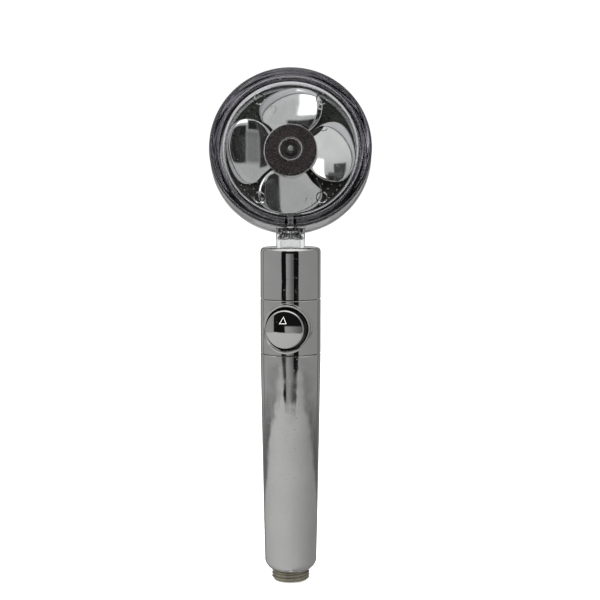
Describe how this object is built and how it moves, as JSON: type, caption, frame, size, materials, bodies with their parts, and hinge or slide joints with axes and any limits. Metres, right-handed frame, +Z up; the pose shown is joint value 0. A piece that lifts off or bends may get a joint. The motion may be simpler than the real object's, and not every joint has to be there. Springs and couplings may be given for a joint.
{
  "type": "handheld shower head",
  "caption": "Handheld shower head with a water-driven fan behind a clear window, chromed handle and push-button stop valve.",
  "frame": {"origin": "centre of the hose inlet's end face, at the bottom of the handle", "axes": "+Z up along the handle towards the head, -Y out of the head's window side, +Y on the spray side, +X to the right when the window is seen"},
  "size_m": [0.0904, 0.0545, 0.285],
  "materials": {
    "chrome_plating": "polished chrome plating on moulded plastic",
    "nickel_brass": "nickel-plated brass, slightly worn threads",
    "stainless": "bright stainless steel",
    "clear_plastic": "clear polished plastic",
    "black_plastic": "satin black moulding",
    "hub_plastic": "dark brown-black moulding with fine turned rings",
    "white_plastic": "natural acetal",
    "rubber": "black moulded seal"
  },
  "bodies": {
    "handle": {"inlet_connector": "nickel_brass", "inlet_screen": "stainless", "flow_restrictor": "white_plastic", "connector_o_ring": "rubber", "grip_tube": "chrome_plating", "grip_o_ring": "rubber", "valve_body": "white_plastic", "switch_sleeve": "chrome_plating", "bezel_ring": "chrome_plating", "handle_cap": "chrome_plating", "neck_washer": "white_plastic", "gland_nut": "white_plastic", "return_spring": "stainless"},
    "head": {"head_shell": "clear_plastic", "neck_clip": "stainless", "neck_o_ring_lower": "rubber", "neck_o_ring_upper": "rubber", "spray_ring": "chrome_plating", "spray_plate": "stainless", "plate_backing": "black_plastic", "face_seal": "rubber", "plate_screw": "stainless", "axle_pin": "stainless", "front_thrust_washer": "black_plastic", "rear_thrust_washer": "black_plastic"},
    "fan": {"fan_rotor": "chrome_plating", "hub_cap": "hub_plastic", "fan_bushing": "black_plastic"},
    "button": {"button": "chrome_plating", "valve_spool": "white_plastic", "spool_o_ring_front": "rubber", "spool_o_ring_rear": "rubber"}
  },
  "joints": [
    {"name": "head_swivel", "type": "hinge", "parent": "handle", "child": "head", "pos_m": [0, 0, 0.1866], "axis": [0, 0, 1], "continuous": true},
    {"name": "fan_spin", "type": "hinge", "parent": "head", "child": "fan", "pos_m": [0, 0.00969, 0.2393], "axis": [0, -0.9816, 0.1908], "continuous": true},
    {"name": "button_press", "type": "slide", "parent": "handle", "child": "button", "axis": [0.1478, 0.989, 0], "range_m": [0, 0.003], "stiffness_N_per_m": 600, "deforming": ["return_spring"]}
  ]
}
